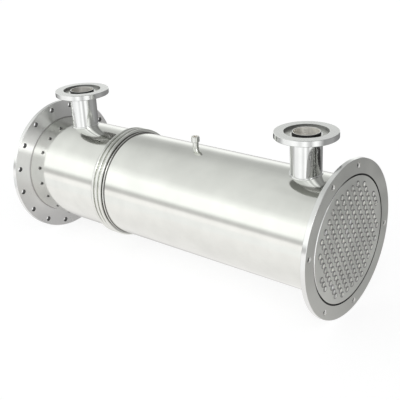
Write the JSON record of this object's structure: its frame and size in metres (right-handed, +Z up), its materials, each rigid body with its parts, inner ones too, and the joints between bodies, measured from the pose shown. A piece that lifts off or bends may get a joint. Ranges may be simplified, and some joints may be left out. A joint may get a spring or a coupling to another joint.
{
  "type": "shell and tube heat exchanger",
  "caption": "Polished steel shell and tube heat exchanger with fixed tubesheets, an expansion bellows, two flanged nozzles on top and a small vent.",
  "frame": {"origin": "centre of the rear tubesheet's outer face, on the shell's axis", "axes": "+X along the shell's axis towards the front tubesheet, +Z up along the nozzles"},
  "size_m": [0.958, 0.38, 0.4275],
  "materials": {
    "polished_steel": "polished",
    "plate_steel": "satin",
    "tube_steel": "satin"
  },
  "bodies": {
    "root": {"rear_tubesheet": "plate_steel", "front_tubesheet": "plate_steel", "rear_shell": "polished_steel", "main_shell": "polished_steel", "bellows": "polished_steel", "rear_neck": "polished_steel", "rear_nozzle_flange": "polished_steel", "front_neck": "polished_steel", "front_nozzle_flange": "polished_steel", "vent_stub": "polished_steel", "vent_socket": "polished_steel", "tube_row_middle": "tube_steel", "tube_row_right_1": "tube_steel", "tube_row_right_2": "tube_steel", "tube_row_right_3": "tube_steel", "tube_row_right_4": "tube_steel", "tube_row_right_5": "tube_steel", "tube_row_right_6": "tube_steel", "tube_row_left_1": "tube_steel", "tube_row_left_2": "tube_steel", "tube_row_left_3": "tube_steel", "tube_row_left_4": "tube_steel", "tube_row_left_5": "tube_steel", "tube_row_left_6": "tube_steel"}
  },
  "joints": []
}
